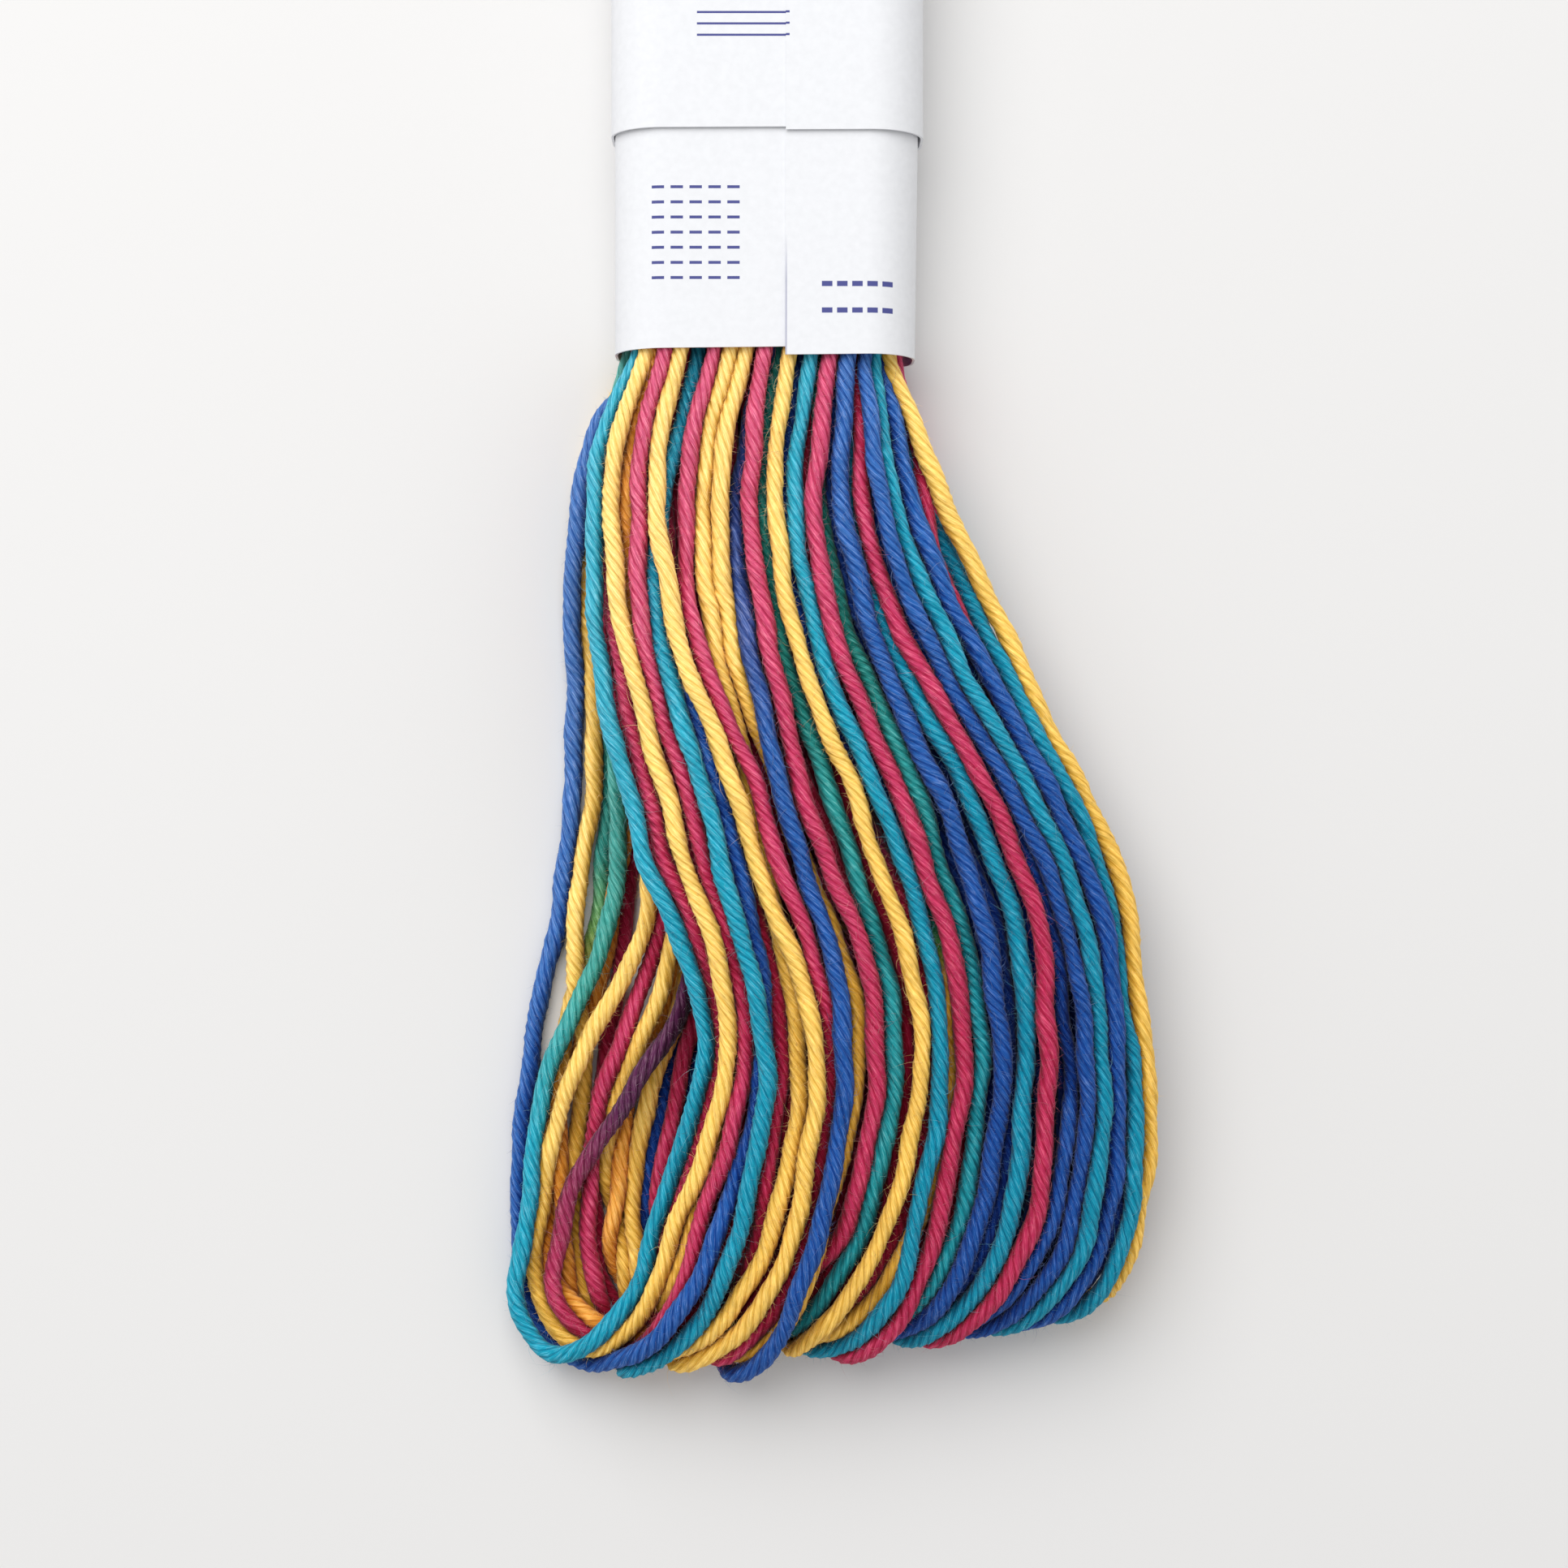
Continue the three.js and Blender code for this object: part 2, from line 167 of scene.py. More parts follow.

# %% [markdown]
# ## The open eye
# At the lower left the outermost loops fall open, and one looks through them at the runs that go back up.
# They cross each other, so they are laid one by one: at nine stations up the hank, each run has a place
# across and a height. The last three numbers are how low its loop hangs, how far it leans to the left on its
# way down, and how early it dives under its neighbours.

# %% Runs of the eye
EYE_STATIONS = np.array([-70, -65, -60, -55, -50, -45, -40, -32, -25])
EYE_RUNS = {
    # name: places across, heights, low end of the loop, lean, dive
    "outer": ((-17.15, -16.3, -15.6, -13.75, -11.9, -11.5, -11.9, -12.2, -11.8),
              (1.9, 1.9, 2, 2.4, 2.4, 2.4, 2, 1.6, 1.2), -74.1, 6, 1),
    "yellow": ((-15.5, -15.5, -14.6, -12.1, -9.95, -10.3, -10.6, -11, -10.8),
               (0.7, 1, 1.8, 3, 3.3, 3, 2.6, 2, 1.5), -73.7, 4.7, 2),
    "purple": ((-14.75, -14.1, -11, -8.2, -7.5, -7.7, -8.1, -8.8, -9.2),
               (1.2, 2.1, 3.3, 4, 4, 3.6, 3, 2.4, 1.9), -73.6, 4.2, 2.5),
    "red": ((-12.7, -13, -12.45, -10.4, -9, -9.1, -9.3, -9.75, -9.8),
            (0.8, 1, 1.7, 2.8, 3, 2.8, 2.4, 1.9, 1.5), -73, 1.6, 2.5),
    "left": ((-13.7, -14.2, -13.75, -13.9, -13.8, -13.1, -12.9, -13.2, -12.3),
             (0.6, 0.6, 0.8, 1.1, 1, 0.9, 0.8, 0.7, 0.7), -73.3, 3.2, 2.5),
    "floor": ((-16.3, -17.05, -16.65, -16, -15.1, -14.3, -13.9, -13.85, -12.6),
              (*[0.55] * 6, 0.6, 1.2, 1.2), -73.9, 6.8, 2.2),
    "inner": ((-9.9, -10, -8.5, -7.2, -6.8, -6.8, -7.2, -8, -8.5),
              (0.7, 0.8, 1.5, 2, 2.2, 2, 1.8, 1.5, 1.2), -71.6, 3.6, 2.5),
    "gold": ((-11.5, -12.15, -11.75, -9.5, -8.15, -8.1, -8.4, -8.9, -9.2),
             (0.7, 0.8, 1.6, 3.2, 3.2, 3, 2.6, 2.2, 1.8), -72.7, 1.2, 2.5),
    "second gold": ((-10.6, -11.05, -9.95, -8.1, -7.3, -7.2, -7.6, -8.2, -8.8),
                    (0.7, 0.7, 1.2, 2.2, 2.5, 2.3, 2, 1.7, 1.4), -72.1, 1.6, 2.5),
    "navy": ((-10.2, -9.2, -8.1, -6.1, -5.2, -5.2, -5.6, -6.6, -7.6),
             (0.5, 0.5, 0.6, 0.8, 1, 1, 1, 1, 1), -74.1, 6.8, 1.3),
    "slate": ((-10.6, -10.3, -9.35, -7.6, -6.8, -6.8, -7.2, -7.9, -8.2),
              (*[0.5] * 3, 0.6, *[0.7] * 5), -71.8, 4.6, 2.5),
    "plum": ((-11.6, -11.6, -10.9, -9, -8, -7.8, -8.2, -8.8, -9),
             (0.5, 0.5, 0.5, 0.9, 1.2, 1.2, 1, 0.9, 0.8), -72.4, 3.6, 2.5),
    "shade": ((-15, -15.3, -14.7, -13.1, -11.9, -11.2, -11.2, -11.4, -11.2),
              (0.5, 0.5, 0.5, 0.8, 1.2, 1.3, 1.3, 1.2, 1.1), -73.2, 6.4, 2.5),
    "green": ((-14.6, -14.9, -14.9, -14.3, -12.75, -12.4, -12.4, -12.6, -12),
              (*[0.55] * 7, 0.6, 0.7), -73, 4.4, 2.5),
    "dark": ((-12.9, -13.2, -12.7, -11.95, -11.2, -10.7, -10.7, -11, -10.8),
             (*[0.5] * 3, *[0.55] * 4, 0.6, 0.7), -72.6, 4.2, 2.5),
}
print(len(EYE_RUNS), "runs show through the eye")

# %% [markdown]
# ## Turns below the face
# Under the strands that show lie two more levels, which fill the gaps and give the heap its height. They
# follow the same rails, spread a little unevenly. Seven of them come back through the eye.

# %% Hidden turns
HIDDEN_LEVELS = {2: 16, 3: 12}
HIDDEN_UNEVEN, HIDDEN_LIMITS, RED_SHARE = 0.012, (0.03, 0.94), 0.62
# The run on which a turn of a level comes back, and its dye there.
HIDDEN_RUNS = {(2, 0): ("gold", 1.0), (2, 1): ("second gold", 1.0), (2, 2): ("shade", GOLD),
               (3, 0): ("green", GREEN + 1), (3, 1): ("dark", RED), (3, 2): ("slate", BLUE),
               (3, 3): ("plum", GOLD)}


def hidden_strands():
    rows = []
    for level, count in HIDDEN_LEVELS.items():
        for i in range(count):
            run, returning = HIDDEN_RUNS.get((level, i), (None, None))
            place = (i + 0.7) / (count + 0.4)
            dye = GOLD if run == "green" else RED if place < RED_SHARE else BLUE
            places = np.clip(place + rng.normal(0, HIDDEN_UNEVEN, 5), *HIDDEN_LIMITS)
            dyes = (dye, dye, returning or dye)
            rows.append((run, (level, level, level), dyes, tuple(places)))
    return rows


strands = FACE_STRANDS + hidden_strands()
levels = [round(depths[2]) for _, depths, _, _ in strands]
order = sorted(range(len(strands)), key=lambda i: (levels[i], strands[i][3][-1]))
strands, levels = [strands[i] for i in order], [levels[i] for i in order]
print(len(strands), "turns in all")

# %% [markdown]
# ## One turn of the hank
# A turn starts in the waist, comes down the face, rolls over the foot, goes back up along the floor, through
# the waist, round the plain upper end and down into the waist again. A few points are enough, because a
# smooth curve is run through them. Outer levels roll further out than inner ones. At the foot the loops lean
# to the left, so a turn comes back further left than it went down.

# %% Heights of the face
THREAD_RADIUS, WAIST_RADIUS, LEVEL_STEP = 0.51, 0.45, 0.84
FACE_HEIGHT = np.array([(-70.6, 6.7), (-60, 7.1), (-50, 7.0), (-40, 6.8), (-30, 6.7), (-20.3, 6.45)])
EYE_SHARE = 0.16
FALL, FALL_FROM, FALL_RUN = 3.2, -50.0, 22.0
RIGHT_DROP, RIGHT_FROM, RIGHT_RUN = 1.6, 0.8, 0.2
LEFT_DROP, LEFT_RUN = 0.5, 0.12


def unit(value):
    """The value, held between 0 and 1."""
    return np.clip(value, 0, 1)


def face_z(y, share, depth):
    """Height of a strand on the face: lower towards both edges, and sinking at the lower left."""
    top = smooth_through(FACE_HEIGHT[:, 0], FACE_HEIGHT[:, 1], y)
    fall = FALL * unit((FALL_FROM - y) / FALL_RUN) * unit(1 - share / EYE_SHARE)
    right = RIGHT_DROP * unit((share - RIGHT_FROM) / RIGHT_RUN) ** 2
    left = LEFT_DROP * unit(1 - share / LEFT_RUN) ** 2
    return top - fall - (right + left) - depth * LEVEL_STEP


print("height in the fan:", round(float(face_z(PLACE_STATIONS[1:2], 0.5, 0)[0]), 2), "mm")

# %% The rounded waist
PAPER_CENTRE, WAIST_HALF, WAIST_LOW, WAIST_HIGH, WAIST_CORNER = -3.5, 7.3, 0.78, 6.42, 2.2


def inside_paper(x, z):
    """Moves points into the rounded section that the papers leave for the thread."""
    middle, tall = (WAIST_LOW + WAIST_HIGH) / 2, (WAIST_HIGH - WAIST_LOW) / 2
    dx = np.clip(x - PAPER_CENTRE, -WAIST_HALF, WAIST_HALF)
    dz = np.clip(z - middle, -tall, tall)
    over_x = np.maximum(np.abs(dx) - (WAIST_HALF - WAIST_CORNER), 0)
    over_z = np.maximum(np.abs(dz) - (tall - WAIST_CORNER), 0)
    reach = np.maximum(np.hypot(over_x, over_z), 1e-9)
    pull = np.maximum(1 - WAIST_CORNER / reach, 0)
    dx = dx - np.sign(dx) * over_x * pull
    dz = dz - np.sign(dz) * over_z * pull
    return PAPER_CENTRE + dx, middle + dz


def run_of(x, y, z):
    return np.column_stack(np.broadcast_arrays(x, y, z)).astype(float)


print("waist section", 2 * WAIST_HALF, "by", WAIST_HIGH - WAIST_LOW, "mm")

# %% Rolling over a loop end
DIVE, EARLY = 1.2, 0.32
FOOT = [
    # share, low end of the loop, lean, and if they differ from the rest, dive and how early it leans
    (0.19, -74.3, 6.1), (0.24, -74, 6), (0.29, -74.3, 7), (0.34, -74.8, 5), (0.385, -73.2, 6.4, 2.4, 0.45),
    (0.425, -73.4, 5.4, 1.6, 0.6), (0.478, -73.6, 4.9, 1.2, 0.7), (0.505, -73.4, 5, 1.4, 0.5),
    (0.524, -73.3, 6.6, 1.3, 0.25), (0.533, -73.8, 6, 1.2, 0.1), (0.58, -74.1, 5.3), (0.65, -72.6, 5, 1.4),
    (0.72, -73.1, 5.8), (0.77, -73.1, 5.7), (0.885, -72.6, 5.4), (0.945, -72.4, 4.2), (0.966, -72.3, 3.5),
    (0.995, -71.9, 2.8, 2.2),
]
FOOT = np.array([(*row, *(DIVE, EARLY)[len(row) - 3:]) for row in FOOT])
FOOT_TAIL, EYE_TAIL = 0.9, 0.4
ROLL_ANGLES = np.radians([22, 45, 68, 90, 112, 135, 158])


def sweep_share(angle, early):
    """How far a strand has leant over on its way into the lowest point of its loop."""
    return early * np.sin(angle) + (1 - early) * (1 - np.cos(angle))


def roll(start, end, edge_y, lean, dive=1.0, early=EARLY, tail=0.0):
    """Points where a turn leans to one side, rolls over a loop end and comes back."""
    angle, mirrored = ROLL_ANGLES, math.pi - ROLL_ANGLES
    low_x = start[0] - lean
    going = start[0] - lean * sweep_share(angle, early)
    coming = end[0] + (low_x - end[0]) * sweep_share(mirrored, EARLY) - tail * np.sin(2 * mirrored)
    y = start[1] + (end[1] - start[1]) * angle / math.pi
    drop = ((1 + np.cos(angle)) / 2) ** dive
    return run_of(np.where(angle <= math.pi / 2, going, coming), y + (edge_y - y) * np.sin(angle),
                  end[2] + (start[2] - end[2]) * drop)


print(len(ROLL_ANGLES), "points on each loop end")

# %% The way back
LOWER_STATIONS = np.arange(-66.4, -20.0, 3.85)
BACK_SHIFT, LEAN_STEP, DEEP_LEVEL = 0.09, 0.5, 1.5


def way_back(strand):
    """Points of the run along the floor from the foot to the paper, and how its loop hangs."""
    run, (_, _, depth), _, (paper, *_, foot) = strand
    if run:
        x, z, edge, lean, dive = EYE_RUNS[run]
        return run_of(np.array(x), EYE_STATIONS, np.array(z)), (edge, lean, dive, EARLY, EYE_TAIL)
    share = max((foot - BACK_SHIFT) / (1 - BACK_SHIFT), EYE_SHARE if depth > DEEP_LEVEL else 0)
    y = LOWER_STATIONS
    share = share + (unit(paper) - share) * (y - y[0]) / (y[-1] - y[0])
    edge, lean, dive, early = (np.interp(foot, FOOT[:, 0], FOOT[:, k]) for k in (1, 2, 3, 4))
    loop = (edge + depth, lean - LEAN_STEP * depth, dive, early, FOOT_TAIL)
    return run_of(across(BACK_RAILS, y, share), y, THREAD_RADIUS + depth * LEVEL_STEP), loop


print("the first loop hangs to", way_back(strands[0])[1][0], "mm")

# %% Points of one turn
HEAD_EDGE, HEAD_STEP, HEAD_TOP = 74.3, 0.85, 6.5
UPPER_STATIONS = np.arange(35.0, 71.0, 4.5)
WAIST_STATIONS = np.array([-18.8, -15.0, -8.0, 0.0, 8.0, 16.0, 24.0, 30.5])
SEAM_Y, RIM_Y = 4.0, -21.5
DEPTH_STATIONS = (-65, -58, -41, -29)
# In the waist a run shifts to its place in the upper end, and later to that of the next turn.
UPPER_LEFT, UPPER_WIDE = -10.5, 14.0
SHIFT_FROM, SHIFT_RUN = -15.0, 40.0
NEXT_FROM, NEXT_RUN = 30.0, 24.0


def turn_points(strand, next_paper):
    """Points of a turn, from the seam in the waist all the way round to it again."""
    _, (near, middle, depth), _, places = strand
    paper, rise = unit(places[0]), depth * LEVEL_STEP
    y = LOWER_STATIONS[::-1]
    share = smooth_through(PLACE_STATIONS, np.array(places[::-1]), y)
    depths = np.interp(y, DEPTH_STATIONS, (depth, middle, middle, near))
    x, z = across(FACE_RAILS, y, share), face_z(y, share, depths)
    x, z = np.where(y > RIM_Y, inside_paper(x, z), (x, z))
    down = run_of(x, y, z)
    back, loop = way_back(strand)
    y = WAIST_STATIONS
    x, z = inside_paper(back[-1][0], WAIST_LOW + rise)
    shift = unit((y - SHIFT_FROM) / SHIFT_RUN)
    waist_up = run_of(x + (paper * UPPER_WIDE + UPPER_LEFT - x) * shift, y, z)
    y = UPPER_STATIONS
    upper_back = run_of(across(UPPER_BACK_RAILS, y, paper), y, THREAD_RADIUS + rise)
    upper_face = run_of(across(UPPER_FACE_RAILS, y[::-1], paper), y[::-1], HEAD_TOP - rise)
    lean = (upper_back[-1][0] - upper_face[0][0]) / 2
    head = roll(upper_back[-1], upper_face[0], HEAD_EDGE - HEAD_STEP * depth, lean)
    y = WAIST_STATIONS[::-1]
    shift = unit((NEXT_FROM - y) / NEXT_RUN)
    target = np.where(y > SEAM_Y, paper + (next_paper - paper) * shift, paper)
    x = PAPER_CENTRE + WAIST_HALF * (2 * target - 1)
    x, z = inside_paper(x, WAIST_HIGH - LEVEL_STEP * near)
    waist_down = run_of(x, y, z)
    later, sooner = waist_down[y > SEAM_Y], waist_down[y <= SEAM_Y]
    return np.vstack([sooner, down, roll(down[-1], back[0], *loop), back, waist_up, upper_back, head,
                      upper_face, later])


print(len(turn_points(strands[0], 0)), "points guide the first turn")

# %% Lay all turns
SETTLE_STEP, FINE_POINTS = 0.8, 40
PAPER_LOW, PAPER_HIGH, WANDER_RUN = -19.6, 32.0, 6.0
WAVES = ((4.3, 0.04), (7.0, 0.06), (14.0, 0.09), (31.0, 0.1))


def run_along(points):
    return np.concatenate([[0], np.cumsum(np.linalg.norm(np.diff(points, axis=0), axis=1))])


def curve_through(points, step):
    """Points about a step apart on a smooth curve through the given ones."""
    chord = np.sqrt(np.linalg.norm(np.diff(points, axis=0), axis=1))
    knots = np.concatenate([[0], np.cumsum(chord)])
    fine = smooth_through(knots, points, np.linspace(0, knots[-1], FINE_POINTS * len(points)))
    run = run_along(fine)
    at = np.linspace(0, run[-1], int(round(run[-1] / step)) + 1)
    return np.column_stack([np.interp(at, run, fine[:, k]) for k in range(3)])


def outside_papers(points):
    return np.maximum(PAPER_LOW - points[:, 1], points[:, 1] - PAPER_HIGH)


def with_wander(points):
    """Adds the small sideways waves of soft thread, none inside the papers."""
    run = np.arange(len(points)) * SETTLE_STEP
    loose = unit(outside_papers(points) / WANDER_RUN)
    for wave, size in WAVES:
        for axis in (0, 2):
            points[:, axis] += loose * size * np.sin(2 * math.pi * (run / wave + rng.random()))
    return points


turns = []
for i, strand in enumerate(strands):
    follower = strands[i + 1] if i + 1 < len(strands) and levels[i + 1] == levels[i] else strand
    turns.append(with_wander(curve_through(turn_points(strand, follower[3][0]), SETTLE_STEP)))
print("about", round(SETTLE_STEP * sum(map(len, turns)) / 1000, 1), "m of thread in", len(turns), "turns")

# %% [markdown]
# ## Letting the turns settle
# Laid by rule, some strands cut into each other. A rope simulation could sort that out, but it would lose
# the layout. Instead every point is pushed away from points of other strands that are closer than a thread's
# width, and the pushes are smoothed along the thread, because a thread bends gently. The floor stops points
# from sinking. In the waist the paper presses the thread, so it is left alone there.

# %% Neighbours and smoothing
PAIR_REACH, OWN_GAP = 1.4, 8


def close_pairs(points, loose, owner):
    tree = KDTree(len(points))
    for i, point in enumerate(points):
        tree.insert(point, i)
    tree.balance()
    first, second = [], []
    for i in np.flatnonzero(loose > 0):
        for _, j, _ in tree.find_range(points[i], PAIR_REACH):
            if j > i and (owner[i] != owner[j] or j - i > OWN_GAP):
                first.append(i)
                second.append(j)
    return np.array(first), np.array(second)


def smooth_along(moves, owner):
    """Spreads each move to the neighbours on the same turn."""
    joined = owner[1:] == owner[:-1]
    has_before = np.concatenate([[False], joined])[:, None]
    has_after = np.concatenate([joined, [False]])[:, None]
    before = np.where(has_before, np.roll(moves, 1, axis=0), moves)
    after = np.where(has_after, np.roll(moves, -1, axis=0), moves)
    return 0.25 * before + 0.5 * moves + 0.25 * after


print("one smoothing leaves", smooth_along(np.eye(5), np.zeros(5))[2, 2], "of a push")

# %% Settle the turns
SETTLE_ROUNDS, PAIRS_EVERY, SOFTNESS = 60, 6, 0.9
SWELL_RUN, FREE_RUN, FLOOR_GAP = 8.0, 3.0, 0.06

points = np.vstack(turns)
owner = np.repeat(np.arange(len(turns)), [len(turn) for turn in turns])
laid = points.copy()
outside = outside_papers(points)
girth = WAIST_RADIUS + (THREAD_RADIUS - WAIST_RADIUS) * unit(outside / SWELL_RUN)
loose = unit(outside / FREE_RUN)

for settle_round in range(SETTLE_ROUNDS):
    if settle_round % PAIRS_EVERY == 0:
        first, second = close_pairs(points, loose, owner)
    heading = np.gradient(points, axis=0)
    heading /= np.linalg.norm(heading, axis=1)[:, None]
    offset = points[second] - points[first]
    ahead = np.sum(offset * heading[first], axis=1)
    offset -= ahead[:, None] * heading[first]
    apart = np.linalg.norm(offset, axis=1) + 1e-6
    overlap = SOFTNESS * (girth[first] + girth[second]) - apart
    touching = (overlap > 0) & (np.abs(ahead) < SETTLE_STEP)
    push = (0.5 * overlap / apart)[touching, None] * offset[touching]
    moves, hits = np.zeros_like(points), np.zeros(len(points))
    for index, way in ((first[touching], -1), (second[touching], 1)):
        np.add.at(moves, index, way * push)
        np.add.at(hits, index, 1)
    moves /= np.sqrt(np.maximum(hits, 1))[:, None]
    points = laid + smooth_along(points + moves - laid, owner) * loose[:, None]
    points[:, 2] = np.maximum(points[:, 2], girth + FLOOR_GAP)
print("overlaps left: mean", round(float(np.mean(overlap[touching])), 3), "mm, top of the heap",
      round(float(points[:, 2].max()), 2), "mm")

# %% [markdown]
# ## Dye along the thread
# The colours change slowly along the thread, from yellow through green to teal, blue, purple, red and back.
# Each point gets a dye number, which a colour ramp in the material turns into a colour. Round the upper end
# it drifts to the dye with which the next turn starts. On top of the dye, the colour carries painted light:
# it is painted paler at the upper left and darker towards the lower right, as the light falls off from the
# upper left. A second number, from 0 to 1, says how far that painted falloff has gone.

# %% Dye numbers
# Where a turn changes its dye, in millimetres from the seam: on the face, and in the loop at the foot.
FACE_CHANGE, LOOP_CHANGE, HIDDEN_CHANGE = (36, 56), (86, 100), (68, 74)
DYE_CHANGES = {"purple": (74, 94), "green": (90, 104)}
RETURN_END, LAST_STRETCH = 150, 15
# Painted light: where the colour is lightest, and how fast the painted shade grows across and down.
LIGHTEST_PLACE, DARKER_ACROSS, DARKER_DOWN, UPPER_FALLOFF = (-8, -27), 0.03, 0.0165, 0.35


def dye_along(strand, next_dye, run, level):
    at_paper, at_foot, at_return = strand[2]
    goal = next_dye + round(at_return - next_dye)
    change = DYE_CHANGES.get(strand[0], LOOP_CHANGE if level < 2 else HIDDEN_CHANGE)
    keys = [0, *FACE_CHANGE, *change, RETURN_END, run[-1] - LAST_STRETCH]
    return np.interp(run, keys, [at_paper, at_paper, at_foot, at_foot, at_return, at_return, goal])


# Painted light falloff: paler at the upper left and darker towards the lower right, fixed in the upper end.
def painted_falloff_at(place):
    x, y, _ = place.T
    deep = DARKER_ACROSS * (x - LIGHTEST_PLACE[0]) + DARKER_DOWN * (LIGHTEST_PLACE[1] - y)
    return np.where(y > 0, UPPER_FALLOFF, unit(deep))


# The value printed is the largest painted light falloff on the first turn, not a dye.
print("deepest dye on the first turn:", round(float(painted_falloff_at(turns[0]).max()), 2))

# %% Points for the sweep
SHOWN_STEPS, EYE_STEP, HIDDEN_STEP = (0.5, 0.55, 1.2, 1.5), 0.6, 4.0
SHOWN_MARGIN, LOW_HEIGHT, LOW_DENSITY = 1.2, 1.7, 0.55
TWIST_PITCH, TWIST_PACE = 4.7, 0.6
TWIST_SPREAD, TWIST_WAVES = 0.08, ((5, 0.14), (9, 0.14), (23, 0.12))
SLUB_SPREAD, SLUB_WAVES = 0.04, ((1.7, 0.02), (3.7, 0.03), (11, 0.04))


def waves(run, spread_by, sizes):
    """A value near one with seeded waves along a run, from pairs of wave length and size."""
    start = rng.normal(1, spread_by)
    return start + sum(size * np.sin(2 * math.pi * (run / wave + rng.random())) for wave, size in sizes)


def sweep_points(points, girth, step, in_eye):
    """Close points where a turn shows, wider ones below, and few inside the papers."""
    run = run_along(points)
    shows = (outside_papers(points) > -SHOWN_MARGIN).astype(float)
    below = (points[:, 2] < LOW_HEIGHT) & (not in_eye)
    density = np.where(shows > 0, np.where(below, LOW_DENSITY, 1) / step, 1 / HIDDEN_STEP)
    count = np.concatenate([[0], np.cumsum(np.diff(run) * 0.5 * (density[1:] + density[:-1]))])
    wanted = np.interp(np.arange(int(count[-1]) + 1), count, run)
    uneven = waves(wanted, TWIST_SPREAD, TWIST_WAVES)
    pace = np.interp(wanted, run, shows * np.minimum(1, TWIST_PACE * density))
    twist = np.cumsum(np.diff(wanted, prepend=wanted[0]) * pace * uneven) / TWIST_PITCH
    width = np.interp(wanted, run, girth) * waves(wanted, SLUB_SPREAD, SLUB_WAVES)
    return smooth_through(run, points, wanted), wanted, twist, width


swept, thread_run, thread_twist = [], 0.0, 0.0
for i, strand in enumerate(strands):
    mine = owner == i
    group = "eye" if strand[0] and levels[i] > 1 else levels[i]
    step = EYE_STEP if strand[0] else SHOWN_STEPS[levels[i]]
    place, run, twist, width = sweep_points(points[mine], girth[mine], step, bool(strand[0]))
    dye = dye_along(strand, strands[(i + 1) % len(strands)][2][0], run, levels[i])
    swept.append({"group": group, "place": place, "dye": dye, "deep": painted_falloff_at(place),
                  "along": thread_run + run, "girth": width * MM,
                  "twist": -2 * math.pi * (thread_twist + twist)})
    thread_run += run[-1]
    thread_twist += twist[-1]
print("sweep points:", sum(len(turn["place"]) for turn in swept))

# %% [markdown]
# ## Plied thread as a node tree
# Sashiko thread is six plies twisted together, and the twist shows as slanting ridges. The tree turns each
# chain of points into a curve, gives it the twist as tilt, and sweeps a ring with six round lobes along it.
# Six thin tubes wound round each turn would do too, but the lobed ring needs a third of the faces.

# %% Helpers for all node trees
building = None


def node(kind, inputs=(), **settings):
    """Adds a node to the tree being built. Its inputs are values, or sockets to link from."""
    made = building.nodes.new(kind)
    for name, value in settings.items():
        setattr(made, name, value)
    for key, value in dict(inputs).items():
        if isinstance(value, bpy.types.NodeSocket):
            building.links.new(value, made.inputs[key])
        else:
            made.inputs[key].default_value = value
    return made


def new(kind, inputs=(), output=0, **settings):
    return node(kind, inputs, **settings).outputs[output]


def calc(operation, *values):
    """Result of a math node, or of a chain of them for more than two values."""
    result = new("ShaderNodeMath", enumerate(values[:2]), operation=operation)
    return calc(operation, result, *values[2:]) if len(values) > 2 else result


def geo(kind, *inputs, **settings):
    return new("GeometryNode" + kind, *inputs, **settings)


def scaled(vector, amount):
    return new("ShaderNodeVectorMath", {0: vector, "Scale": amount}, operation="SCALE")


def noise(**inputs):
    return new("ShaderNodeTexNoise", inputs, "Fac")


def axes_of(vector):
    return node("ShaderNodeSeparateXYZ", {0: vector}).outputs


print("tree helpers ready")

# %% Helpers for geometry trees


def named(name):
    return geo("InputNamedAttribute", {"Name": name}, "Attribute", data_type="FLOAT")


def store(geometry, name, value, kind="FLOAT"):
    inputs = {"Geometry": geometry, "Name": name, "Value": value}
    return geo("StoreNamedAttribute", inputs, data_type=kind, domain="POINT")


def moved(geometry, **inputs):
    return geo("SetPosition", {"Geometry": geometry, **inputs})


def realized(geometry):
    return geo("RealizeInstances", {"Geometry": geometry})


def new_tree(name, **sockets):
    """Starts a tree, and returns what goes into it."""
    global building
    building = bpy.data.node_groups.new(name, "GeometryNodeTree")
    add_socket = building.interface.new_socket
    add_socket("Geometry", in_out="OUTPUT", socket_type="NodeSocketGeometry")
    for label, kind in {"Geometry": "Geometry", **sockets}.items():
        add_socket(label.replace("_", " "), in_out="INPUT", socket_type="NodeSocket" + kind)
    return node("NodeGroupInput").outputs


def end_tree(geometry, material):
    real = realized(geo("SetShadeSmooth", {"Geometry": geometry}))
    done = geo("SetMaterial", {"Geometry": real, "Material": material})
    node("NodeGroupOutput", {0: done})
    print(building.name, "has", len(building.nodes), "nodes")
    return building


print("geometry helpers ready")

# %% Plied thread tree


